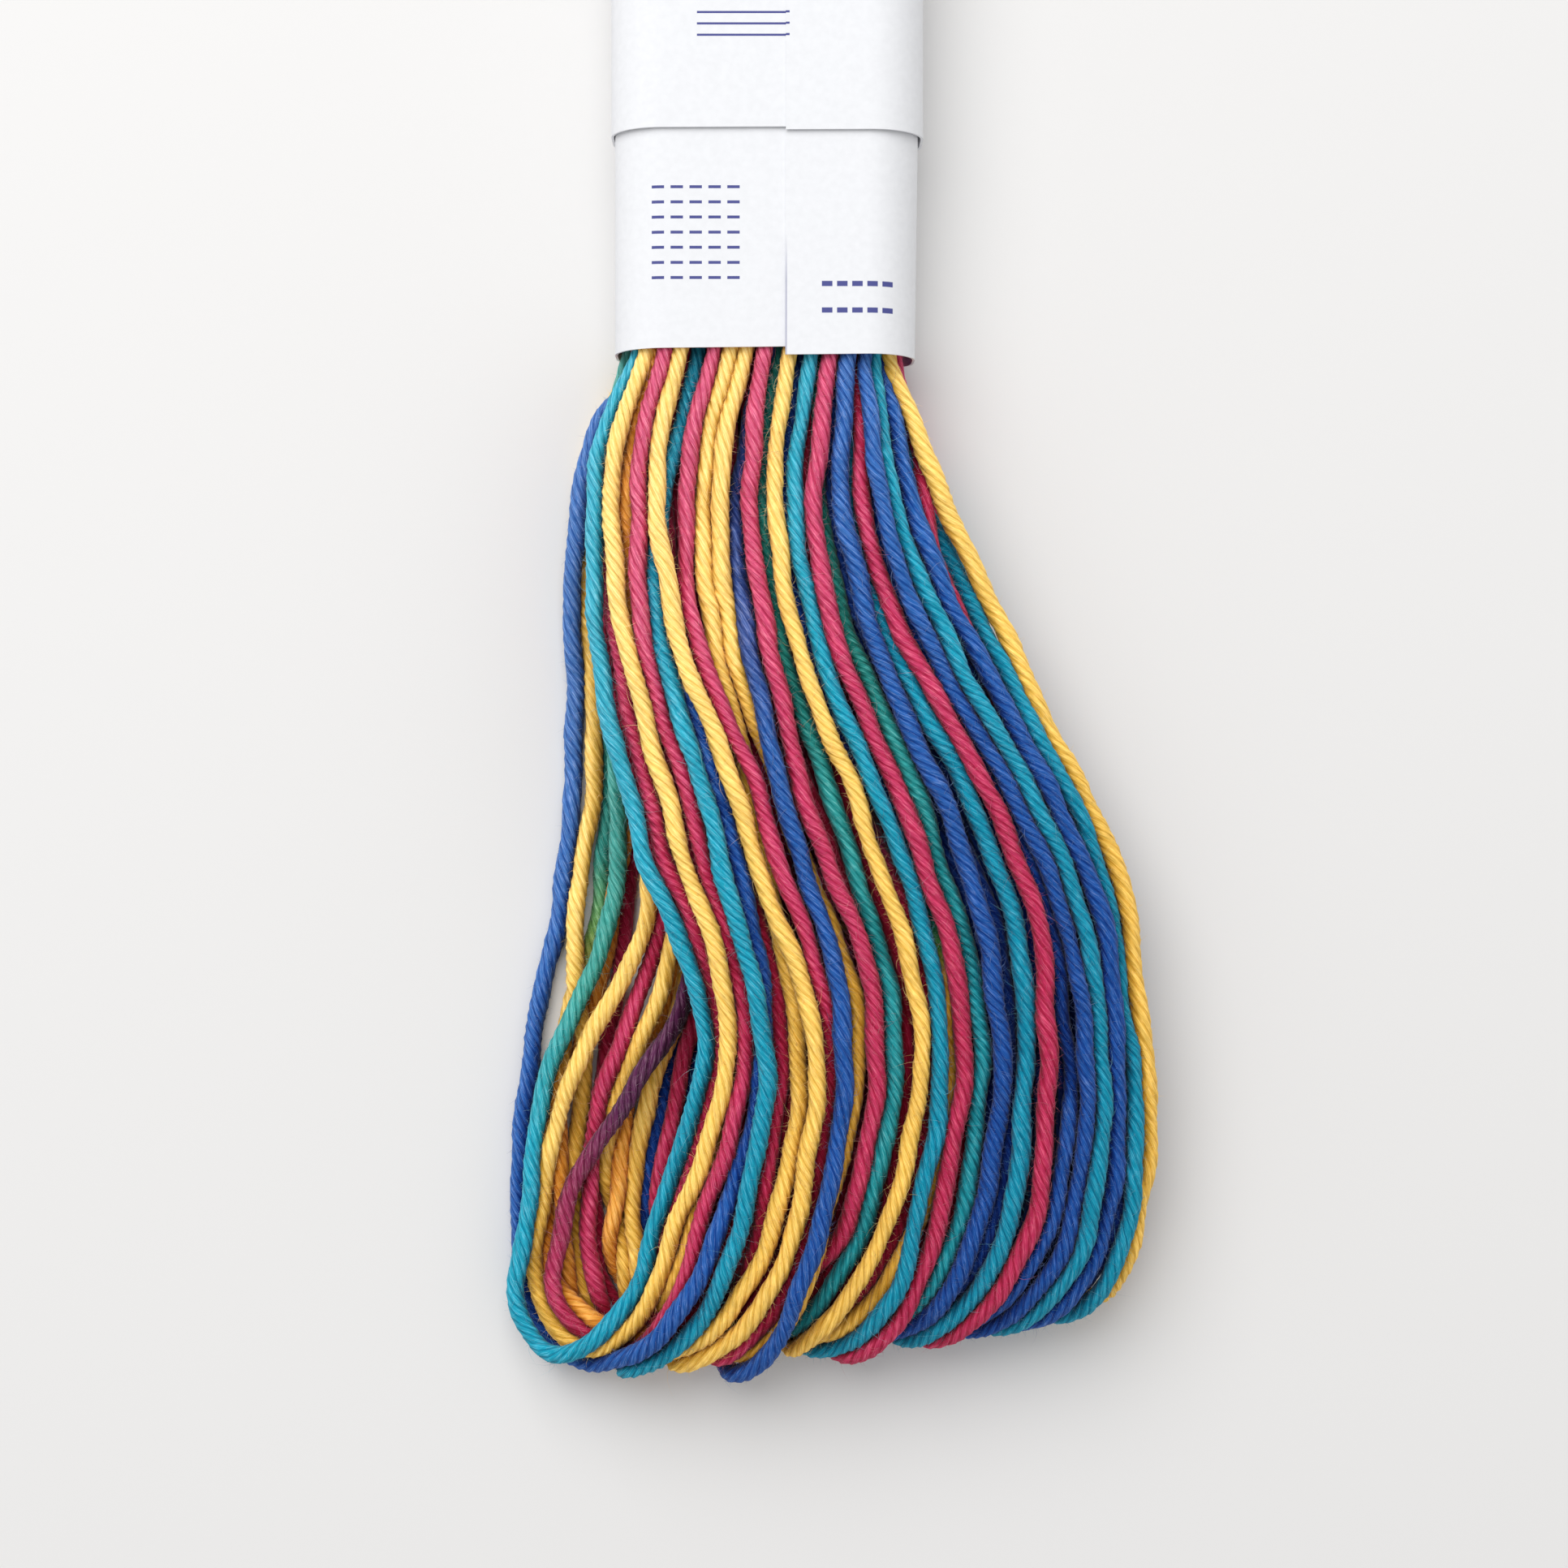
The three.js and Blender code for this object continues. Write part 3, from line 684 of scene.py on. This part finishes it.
def plied_thread_tree():
    given = new_tree("Plied thread", Plies="Int", Points_per_ply="Int", Ply_depth="Float",
                     Lumps_per_metre="Float", Lump_height="Float", Material="Material")
    chain = geo("MeshToCurve", {"Mesh": given["Geometry"]})
    turned = geo("SetCurveTilt", {"Curve": chain, "Tilt": named("twist")})
    corners = calc("MULTIPLY", given["Plies"], given["Points per ply"])
    ring = geo("CurvePrimitiveCircle", {"Resolution": corners, "Radius": 1.0}, mode="RADIUS")
    around = geo("SplineParameter", output="Factor")
    half_waves = calc("MULTIPLY", around, given["Plies"], math.pi)
    marked = store(ring, "ply", calc("ABSOLUTE", calc("SINE", half_waves)))
    spot = geo("InputPosition")
    marked = store(marked, "round", spot, "FLOAT_VECTOR")
    valley = calc("MULTIPLY", calc("SUBTRACT", 1.0, named("ply")), given["Ply depth"])
    lobes = moved(marked, Position=scaled(spot, calc("SUBTRACT", 1.0, valley)))
    inputs = {"Curve": turned, "Profile Curve": lobes, "Scale": named("girth"), "Fill Caps": True}
    tube = geo("CurveToMesh", inputs)
    lumps = noise(Scale=given["Lumps per metre"], Detail=1.0)
    swell = calc("MULTIPLY", calc("SUBTRACT", lumps, 0.5), given["Lump height"])
    lumpy = moved(tube, Offset=scaled(geo("InputNormal"), swell))
    return end_tree(lumpy, given["Material"])


thread_tree = plied_thread_tree()

# %% [markdown]
# ## Dyed cotton
# Soft cotton is rough, with a faint sheen from standing fibres. The dye number picks the colour, and streaks
# of fibre run along the plies, some a little paler. The material also paints light and shade into the
# colour:
# valleys between two plies, places hemmed in by other turns and the lower right of the heap are painted
# darker, and the upper left paler. All three painted shades raise the colour to a higher power, which turns
# yellow golden and darkens blue and red. The loose fibres of the fuzz let light through, so their version of
# the material is paler still and has less painted shade.

# %% Colours of the dye


def linear(red, green, blue):
    """Linear colour of a colour given in 0 to 255 display values."""
    shown = np.array((red, green, blue)) / 255
    low, high = shown / 12.92, ((shown + 0.055) / 1.055) ** 2.4
    return (*np.where(shown <= 0.04045, low, high), 1.0)


DYE_COLOURS = [
    (0.00, (255, 215, 120)), (0.05, (253, 215, 126)), (0.11, (150, 195, 129)), (0.17, (62, 161, 152)),
    (0.24, (27, 166, 190)), (0.33, (27, 160, 188)), (0.43, (46, 109, 184)), (0.55, (43, 100, 171)),
    (0.63, (96, 40, 82)), (0.72, (203, 69, 111)), (0.86, (209, 71, 114)), (0.93, (244, 159, 65)),
    (1.00, (255, 215, 120)),
]
PALE = linear(248, 244, 236)
print(len(DYE_COLOURS), "stops in the cycle of colours")

# %% Helpers for materials


def attribute(name, output="Fac"):
    return new("ShaderNodeAttribute", (), output, attribute_type="GEOMETRY", attribute_name=name)


def spread(value, low, high, to_low, to_high):
    inputs = {"Value": value, "From Min": low, "From Max": high, "To Min": to_low, "To Max": to_high}
    return new("ShaderNodeMapRange", inputs)


def mixed(share, first, second):
    """Colour that lies a share of the way from the first to the second."""
    return new("ShaderNodeMix", {"Factor": share, 6: first, 7: second}, 2, data_type="RGBA")


def new_material(name, **settings):
    global building
    made = bpy.data.materials.new(name)
    made.use_nodes = True
    building = made.node_tree
    shader = building.nodes["Principled BSDF"]
    for label, value in settings.items():
        shader.inputs[label.replace("_", " ")].default_value = value
    return made, shader


def finish_material(shader, colour, **bump):
    building.links.new(colour, shader.inputs["Base Color"])
    building.links.new(new("ShaderNodeBump", bump), shader.inputs["Normal"])
    print("material with", len(building.nodes), "nodes")


print("material helpers ready")

# %% Cotton material
STREAKS_AROUND, STREAKS_ALONG = 10.0, 2.0


def dye_ramp():
    ramp = node("ShaderNodeValToRGB", {"Fac": calc("FRACT", attribute("dye"))})
    stops = ramp.color_ramp.elements
    while len(stops) < len(DYE_COLOURS):
        stops.new(0.5)
    for stop, (place, colour) in zip(stops, DYE_COLOURS):
        stop.position = place
        stop.color = linear(*colour)
    return ramp.outputs["Color"]


def cotton_material(name, low_pale, high_pale, hemmed_shade, hemmed_shade_power):
    made, shader = new_material(name, Roughness=0.95, Specular_IOR_Level=0.1, Sheen_Weight=0.1,
                                Sheen_Roughness=0.45)
    around = axes_of(attribute("round", "Vector"))
    parts = {axis: calc("MULTIPLY", around[axis], STREAKS_AROUND) for axis in "XY"}
    parts["Z"] = calc("MULTIPLY", attribute("along"), STREAKS_ALONG)
    place = new("ShaderNodeCombineXYZ", parts)
    fibre = noise(Vector=place, Scale=1.0, Detail=4.0)
    cloud = noise(Vector=place, Scale=0.23, Detail=1.0)
    ply, deep, room = (attribute(label) for label in ("ply", "deep", "open"))
    # Pale streaks follow the fibre noise; the second term is painted light, paler towards the upper left.
    paler = calc("ADD", spread(fibre, 0.5, 0.72, low_pale, high_pale),
                 spread(deep, 0, 0.4, 0.03, 0))
    # Painted shade: a higher power darkens the colour towards the lower right, in ply valleys and in
    # hemmed-in places.
    power = calc("ADD", spread(deep, 0, 1, 0.95, 1.28), spread(ply, 0, 0.65, 0.34, 0),
                 spread(room, 0.1, 0.92, hemmed_shade_power, 0))
    colour = mixed(paler, dye_ramp(), PALE)
    colour = new("ShaderNodeGamma", {"Color": colour, "Gamma": power})
    # Each row: what the shade follows, its span, and how bright the colour is at both ends of the span. The
    # first, second and last rows are painted light and shade (darker towards the lower right, in ply valleys
    # and in gaps between turns); the fibre and cloud rows are random tone.
    for shade in ((deep, 0.2, 1, 1.06, 0.88), (ply, 0, 0.65, 0.82, 1.04), (fibre, 0.36, 0.64, 0.8, 1.22),
                  (cloud, 0.3, 0.7, 0.92, 1.12), (room, 0.05, 0.92, hemmed_shade, 1.04)):
        colour = scaled(colour, spread(*shade))
    finish_material(shader, colour, Strength=0.7, Distance=0.07 * MM, Height=fibre)
    return made


cotton = cotton_material("dyed_cotton", low_pale=0.01, high_pale=0.15, hemmed_shade=0.46, hemmed_shade_power=0.75)
loose_fibre = cotton_material("loose_fibre", low_pale=0.22, high_pale=0.32, hemmed_shade=0.9, hemmed_shade_power=0.15)

# %% [markdown]
# ## Sweeping the turns
# Each group of turns becomes one chain mesh with its attributes, runs through the tree, and is stored as a
# plain mesh. The groups follow the levels of the heap, with one for the deep turns that show in the eye, so
# that every piece has a handy size. Within a group the thread runs on from turn to turn.

# %% Chains and results
CHAIN_VALUES = ("dye", "deep", "along", "girth", "twist")


def add_values(mesh, name, values):
    mesh.attributes.new(name, "FLOAT", "POINT").data.foreach_set("value", values.astype(np.float32))


def chain_mesh(name, members):
    mesh = bpy.data.meshes.new(name)
    places = np.vstack([turn["place"] for turn in members]) * MM
    mesh.from_pydata(places.tolist(), [(k, k + 1) for k in range(len(places) - 1)], [])
    for key in CHAIN_VALUES:
        add_values(mesh, key, np.concatenate([turn[key] for turn in members]))
    return mesh


def add_object(name, mesh):
    made = bpy.data.objects.new(name, mesh)
    bpy.context.scene.collection.objects.link(made)
    return made


def applied(source, name):
    """Plain mesh object with the modifiers of the source applied, which it replaces."""
    result = bpy.data.meshes.new_from_object(source.evaluated_get(bpy.context.evaluated_depsgraph_get()))
    result.name = name
    bpy.data.objects.remove(source)
    return add_object(name, result)


def through_tree(name, mesh, tree, inputs):
    """Runs a mesh through a node tree and returns the result as a plain mesh object."""
    source = add_object(name + "_source", mesh)
    modifier = source.modifiers.new("tree", "NODES")
    modifier.node_group = tree
    sockets = {item.name: item.identifier for item in tree.interface.items_tree if item.in_out == "INPUT"}
    for label, value in inputs.items():
        modifier[sockets[label]] = value
    return applied(source, name)


def triangles(piece):
    return sum(len(face.vertices) - 2 for face in piece.data.polygons)


print("each chain carries", ", ".join(CHAIN_VALUES))

# %% Sweep the groups
PLIES, PLY_DEPTH = 6, 0.13
GROUPS = {"turns_face_left": (0, 0.0, 0.5), "turns_face_right": (0, 0.5, 1.0), "turns_second": (1, 0.0, 1.0),
          "turns_eye": ("eye", 0.0, 1.0), "turns_third": (2, 0.0, 1.0), "turns_core": (3, 0.0, 1.0)}

thread_pieces = []
for name, (group, start, end) in GROUPS.items():
    members = [turn for turn in swept if turn["group"] == group]
    members = members[round(start * len(members)):round(end * len(members))]
    inputs = {"Plies": PLIES, "Points per ply": 2 if group in (2, 3) else 3, "Ply depth": PLY_DEPTH,
              "Lumps per metre": 900.0, "Lump height": 0.14 * MM, "Material": cotton}
    thread_pieces.append(through_tree(name, chain_mesh(name + "_chain", members), thread_tree, inputs))
    print(name, len(members), "turns,", triangles(thread_pieces[-1]), "triangles")

# %% [markdown]
# ## How open a place is
# Gaps between the turns look dark, and the renderer's shadows alone leave them too light. So a tree sends
# rays from every point of the threads in fourteen directions, and stores the share of them that gets away
# from the heap. The material paints shade by darkening places with a low share, and the fuzz grows where
# there is room.

# %% Tree of rays
CORNERS = [(x, y, z) for x in (-1, 1) for y in (-1, 1) for z in (-1, 1)]
SIDES = [(1, 0, 0), (-1, 0, 0), (0, 1, 0), (0, -1, 0), (0, 0, 1), (0, 0, -1)]
RAY_LIFT, RAY_REACH = 0.04, 3.0


def open_air_tree():
    given = new_tree("Open air", Heap="Collection", Reach="Float", Material="Material")
    heap = realized(geo("CollectionInfo", {"Collection": given["Heap"]}))
    normal = geo("InputNormal")
    start = {0: geo("InputPosition"), 1: scaled(normal, RAY_LIFT * MM)}
    start = new("ShaderNodeVectorMath", start, operation="ADD")
    stopped, sent = 0.0, 0.001
    for way in CORNERS + SIDES:
        way = Vector(way).normalized()
        facing = new("ShaderNodeVectorMath", {0: normal, 1: way}, "Value", operation="DOT_PRODUCT")
        share = calc("MAXIMUM", facing, 0.0)
        inputs = {"Target Geometry": heap, "Source Position": start, "Ray Direction": way,
                  "Ray Length": given["Reach"]}
        hit = geo("Raycast", inputs, "Is Hit")
        stopped = calc("ADD", stopped, calc("MULTIPLY", share, hit))
        sent = calc("ADD", sent, share)
    free = calc("SUBTRACT", 1.0, calc("DIVIDE", stopped, sent))
    return end_tree(store(given["Geometry"], "open", free), given["Material"])


ray_tree = open_air_tree()

# %% Measure the open air
heap = bpy.data.collections.new("heap")
for piece in thread_pieces:
    heap.objects.link(piece)
inputs = {"Heap": heap, "Reach": RAY_REACH * MM, "Material": cotton}
measured = [through_tree(piece.name + "_open", piece.data, ray_tree, inputs) for piece in thread_pieces]
for piece, result in zip(thread_pieces, measured):
    piece.data = result.data
    bpy.data.objects.remove(result)
    values = np.zeros(len(piece.data.vertices), np.float32)
    piece.data.attributes["open"].data.foreach_get("value", values)
    print(piece.name, "is open by", round(float(values.mean()), 2), "on average")
bpy.data.collections.remove(heap)

# %% [markdown]
# ## Fuzz
# Spun cotton is never clean: short fibres stand off the thread and cross the dark gaps. A tree scatters
# points over a thread piece, most of them on the flanks of the threads, and sets a fine bent hair on each.
# The points carry the dye number, so each hair has the colour of the place where it grows. A particle system
# could do the same, but it gives no plain mesh.

# %% Fuzz tree
FUZZ_LOW, FUZZ_HIGH = (PAPER_LOW - 1) * MM, (PAPER_HIGH + 1) * MM
LIFT_WEIGHT, ROOM_NEEDED, FLANK, ON_TOP = 50.0, 0.25, (0.75, 0.95), 0.35
HAIR_TILTS, HAIR_SIZES = ((0.6, 0.0, 0.0), (1.5, 0.0, 6.28)), (0.4, 1.4)
SIDE_LEAN, HAIR_FLOOR = -0.6, 0.02


def hair_places(given, place):
    """Points outside the papers, off the underside, and where there is room."""
    facing = axes_of(geo("InputNormal"))
    bare = calc("MAXIMUM", calc("LESS_THAN", place["Y"], FUZZ_LOW),
                calc("GREATER_THAN", place["Y"], FUZZ_HIGH))
    lifted = calc("ADD", facing["Z"], calc("MULTIPLY", place["Z"], LIFT_WEIGHT))
    above = calc("GREATER_THAN", lifted, 0.0)
    room = calc("GREATER_THAN", named("open"), ROOM_NEEDED)
    flank = spread(named("open"), *FLANK, 1.0, given["On top"])
    inputs = {"Mesh": given["Geometry"], "Seed": given["Seed"],
              "Density": calc("MULTIPLY", given["Hairs per square metre"], flank),
              "Selection": calc("MULTIPLY", bare, above, room)}
    return node("GeometryNodeDistributePointsOnFaces", inputs).outputs


def fuzz_tree():
    given = new_tree("Cotton fuzz", Hairs_per_square_metre="Float", Length="Float", Radius="Float",
                     Bend="Float", Segments="Int", On_top="Float", Seed="Int", Material="Material")
    place = axes_of(geo("InputPosition"))
    points = hair_places(given, place)
    inputs = {"Vertices": 3, "Side Segments": given["Segments"], "Radius Top": 0.0,
              "Radius Bottom": given["Radius"], "Depth": given["Length"]}
    hair = geo("MeshCone", inputs, "Mesh")
    rise = calc("DIVIDE", place["Z"], given["Length"])
    lean = calc("MULTIPLY", rise, rise, calc("MULTIPLY", given["Bend"], given["Length"]))
    bend = new("ShaderNodeCombineXYZ", {"X": lean, "Y": calc("MULTIPLY", lean, SIDE_LEAN)})
    hair = moved(hair, Offset=bend)
    limits = {0: HAIR_TILTS[0], 1: HAIR_TILTS[1], "Seed": given["Seed"]}
    turn = new("FunctionNodeRandomValue", limits, data_type="FLOAT_VECTOR")
    inputs = {"Rotation": points["Rotation"], "Rotate By": new("FunctionNodeEulerToRotation", {0: turn})}
    turn = new("FunctionNodeRotateRotation", inputs, rotation_space="LOCAL")
    limits = {2: HAIR_SIZES[0], 3: HAIR_SIZES[1], "Seed": given["Seed"]}
    size = new("FunctionNodeRandomValue", limits, 1, data_type="FLOAT")
    inputs = {"Points": points["Points"], "Instance": hair, "Rotation": turn, "Scale": size}
    hairs = realized(geo("InstanceOnPoints", inputs))
    height = calc("MAXIMUM", place["Z"], HAIR_FLOOR * MM)
    above = new("ShaderNodeCombineXYZ", {"X": place["X"], "Y": place["Y"], "Z": height})
    return end_tree(moved(hairs, Position=above), given["Material"])


hair_tree = fuzz_tree()

# %% Grow the fuzz
HAIRS = {
    # length, radius, bend, segments, and hairs per square metre on each group of turns
    "fuzz": (0.42, 0.006, 0.0, 1, {"face_left": 19e6, "face_right": 19e6, "second": 14e6, "eye": 14e6}),
    "hairs": (1.0, 0.008, 0.9, 4, {"face_left": 2e6, "face_right": 2e6}),
}

fuzz_pieces = []
for kind, (length, radius, bend, segments, densities) in HAIRS.items():
    inputs = {"Length": length * MM, "Radius": radius * MM, "Bend": bend, "Segments": segments,
              "On top": ON_TOP, "Material": loose_fibre}
    for group, density in densities.items():
        inputs.update({"Hairs per square metre": density, "Seed": len(fuzz_pieces)})
        thread = bpy.data.objects["turns_" + group].data.copy()
        fuzz_pieces.append(through_tree(kind + "_" + group, thread, hair_tree, inputs))
        print(fuzz_pieces[-1].name, triangles(fuzz_pieces[-1]), "triangles")

# %% [markdown]
# ## Papers
# Two papers hold the waist. Each is a strip wrapped once round, long enough that its right end laps over its
# left on top. Its section is drawn as an open rounded outline, run along the hank as a grid, and given its
# thickness by a modifier, with sharp rims. The upper paper goes over the top of the lower one.

# %% Section of a wrap
PAPER_THICK, PAPER_CORNER, CORNER_POINTS, OUTLINE_POINTS = 0.13, 2.7, 12, 150
SEAM_X, LAP, LAP_RUN, LAP_RISE = -2.5, 5.0, 2.5, 1.1


def wrap_outline(half, low, high):
    """Section that starts under the lap, goes round by the left and ends over its start."""
    side, top, foot = half - PAPER_CORNER, high - PAPER_CORNER, low + PAPER_CORNER
    section = [(SEAM_X + LAP, high)]
    for x, z, start in ((-side, top, 90), (-side, foot, 180), (side, foot, 270), (side, top, 0)):
        for angle in np.radians(np.linspace(start, start + 90, CORNER_POINTS)):
            out_x, out_z = PAPER_CORNER * math.cos(angle), PAPER_CORNER * math.sin(angle)
            section.append((PAPER_CENTRE + x + out_x, z + out_z))
    section = np.array(section + [(SEAM_X, high)])
    run = run_along(section)
    at = np.linspace(0, run[-1], OUTLINE_POINTS)
    x, z = (np.interp(at, run, section[:, k]) for k in (0, 1))
    lifted = unit((at - run[-1] + LAP + LAP_RUN) / LAP_RUN)
    return x, z + LAP_RISE * PAPER_THICK * lifted, at


print("a wrap laps over itself by", LAP, "mm")

# %% [markdown]
# ## White paper
# The papers are smooth and uncoated, near white with a faint tooth, and carry plain rows of stitch dashes.
# The material draws them from object coordinates: inside a box, a dash is where the place across, counted in
# dashes, is in the first part of its step. Near its lower rim, a fine grey line of painted shade is drawn at
# the band's cut end, found by the distance to it, and it fades out upwards.

# %% Paper material
INK_AND_EDGE_SHADE, WHITE = linear(74, 78, 140), linear(230, 231, 234)[:3]
# The last two values give the width of the painted shade line at the band's cut end and how it fades
# upwards; it is drawn in the ink colour.
TOP_HEIGHT, EDGE_SHADE_WIDTH, EDGE_SHADE_FADE = 6.0, 0.09, (-16.5, -14.0, 0.45, 0.0)
DASHES = [
    # left, right, low, high, dash step, row step, dash share, row share
    (-9.6, -4.6, -16.4, -10.8, 1.0, 0.8, 0.66, 0.2),
    (-0.6, 3.2, -18.2, -15.4, 0.8, 1.4, 0.7, 0.2),
    (-7.2, -2.3, -3.6, -1.8, 50.0, 0.6, 1.0, 0.2),
]


def dash_mask(x, y, left, right, low, high, step, row, share, row_share):
    """One inside the dashes of a block, and nothing elsewhere."""
    tests = []
    for value, start, end, pitch, part in ((x, left, right, step, share), (y, low, high, row, row_share)):
        tests += [calc("GREATER_THAN", value, start), calc("LESS_THAN", value, end)]
        count = calc("DIVIDE", calc("SUBTRACT", value, start), pitch)
        tests.append(calc("LESS_THAN", calc("FRACT", count), part))
    return calc("MULTIPLY", *tests)


def paper_material():
    made, shader = new_material("white_paper", Roughness=0.62, Specular_IOR_Level=0.3)
    spot = new("ShaderNodeTexCoord", output="Object")
    x, y, z = (calc("MULTIPLY", axis, 1 / MM) for axis in axes_of(spot))
    marks = calc("MAXIMUM", *(dash_mask(x, y, *block) for block in DASHES))
    ink = calc("MULTIPLY", calc("GREATER_THAN", z, TOP_HEIGHT), marks)
    tooth = noise(Vector=spot, Scale=2500.0, Detail=2.0)
    white = scaled(WHITE, spread(tooth, 0.3, 0.7, 0.97, 1.01))
    # Painted shade: a fine grey line along the band's cut end, strongest at the lower rim.
    edge_shade = calc("LESS_THAN", attribute("to_end"), EDGE_SHADE_WIDTH)
    white = mixed(calc("MULTIPLY", edge_shade, spread(y, *EDGE_SHADE_FADE)), white, INK_AND_EDGE_SHADE)
    colour = mixed(ink, white, INK_AND_EDGE_SHADE)
    finish_material(shader, colour, Strength=0.15, Distance=0.02 * MM, Height=tooth)
    return made


paper = paper_material()

# %% Wrap the papers
ROWS, RIM_ANGLE = 24, 40


def wrapped_paper(name, half, low, high, start_y, skew, end_y, pulled):
    """A wrap with a slanting rim, drawn in at its lower right, and its flat size."""
    x, z, run = wrap_outline(half, low, high)
    edge = start_y + skew * run / run[-1]
    share = np.linspace(0, 1, ROWS + 1)
    y = edge[:, None] + (end_y - edge[:, None]) * share
    inward = pulled * unit((x - PAPER_CENTRE) / half)[:, None] * (1 - share)
    grid = np.stack([x[:, None] - inward, y, np.broadcast_to(z[:, None], y.shape)], axis=-1) * MM
    wide = ROWS + 1
    faces = [(i * wide + k, i * wide + k + 1, (i + 1) * wide + k + 1, (i + 1) * wide + k)
             for i in range(len(x) - 1) for k in range(ROWS)]
    mesh = bpy.data.meshes.new(name)
    mesh.from_pydata(grid.reshape(-1, 3).tolist(), [], faces)
    mesh.polygons.foreach_set("use_smooth", [True] * len(faces))
    add_values(mesh, "to_end", np.repeat(run[-1] - run, wide))
    mesh.materials.append(paper)
    flat = add_object(name + "_flat", mesh)
    thick = flat.modifiers.new("thickness", "SOLIDIFY")
    thick.thickness = PAPER_THICK * MM
    thick.offset = 0.0
    made = applied(flat, name)
    made.data.set_sharp_from_angle(angle=math.radians(RIM_ANGLE))
    return made, (run[-1] * MM, (end_y - start_y) * MM)


# Half width, underside, top, lower rim and its slant, upper rim, and how far the lower right is drawn in.
band, band_flat = wrapped_paper("band_paper", 8.12, 0.3, 7.02, -19.9, -0.5, -2.0, 0.25)
sleeve, sleeve_flat = wrapped_paper("sleeve_paper", 8.31, 0.12, 7.24, -8.35, -0.2, 32.0, 0.0)
print("flat papers in mm:", in_mm((band_flat, sleeve_flat)))

# %% [markdown]
# ## Floor, light and camera
# The skein lies on a pale floor under soft light from the upper left, and the camera looks straight down on
# its fanned end. A large disk lamp close by gives the soft shadow, and a bright even sky fills the rest.

# %% Floor and sky
SKY_STRENGTH = 0.63

scene = bpy.context.scene
floor_mesh = bpy.data.meshes.new("floor")
floor_mesh.from_pydata([(-2, -2, 0), (2, -2, 0), (2, 2, 0), (-2, 2, 0)], [], [(0, 1, 2, 3)])
pale, _ = new_material("pale_floor", Base_Color=linear(227, 226, 225), Roughness=0.7)
floor_mesh.materials.append(pale)
add_object("floor", floor_mesh)

world = bpy.data.worlds.new("soft_sky")
world.use_nodes = True
sky = world.node_tree.nodes["Background"].inputs
sky["Color"].default_value = (1, 1, 1, 1)
sky["Strength"].default_value = SKY_STRENGTH
scene.world = world
print("sky strength", SKY_STRENGTH)

# %% Lamp and camera
LAMP_PLACE, LAMP_AIM = Vector((-0.10, 0.21, 0.34)), Vector((0, -0.04, 0))
LAMP_SIZE, LAMP_POWER = 0.44, 1.5
SCALE_PX, FRAME_PX, SCALE_Z = 23.0, 1932, 5.0
LOOK_AT = (-2.6, -43.1)
CAMERA_HEIGHT = 165.0

lamp = bpy.data.lights.new("key", "AREA")
lamp.shape, lamp.size, lamp.energy = "DISK", LAMP_SIZE, LAMP_POWER
key = add_object("key", lamp)
key.location = LAMP_PLACE
key.rotation_euler = (LAMP_AIM - LAMP_PLACE).to_track_quat("-Z", "Y").to_euler()

camera = add_object("camera", bpy.data.cameras.new("camera"))
camera.location = (LOOK_AT[0] * MM, LOOK_AT[1] * MM, CAMERA_HEIGHT * MM)
camera.data.lens = camera.data.sensor_width * (CAMERA_HEIGHT - SCALE_Z) / (FRAME_PX / SCALE_PX)
camera.data.clip_start = 0.01
scene.camera = camera
scene.view_settings.view_transform = "Standard"
print("lens", round(camera.data.lens, 1), "mm")

# %% [markdown]
# ## Riding on the frame
# Nothing on a skein moves by itself, so every piece rides on the one body. The thread pieces take the place
# of the hank's plain solid, and each wrap that of its paper.

# %% Pieces of the frame
for piece in thread_pieces + fuzz_pieces:
    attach(piece, "root")
for piece in thread_pieces:
    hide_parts("thread_hank")
for piece, flat, part in ((band, band_flat, "paper_band"), (sleeve, sleeve_flat, "paper_sleeve")):
    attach(piece, "root")
    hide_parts(part)
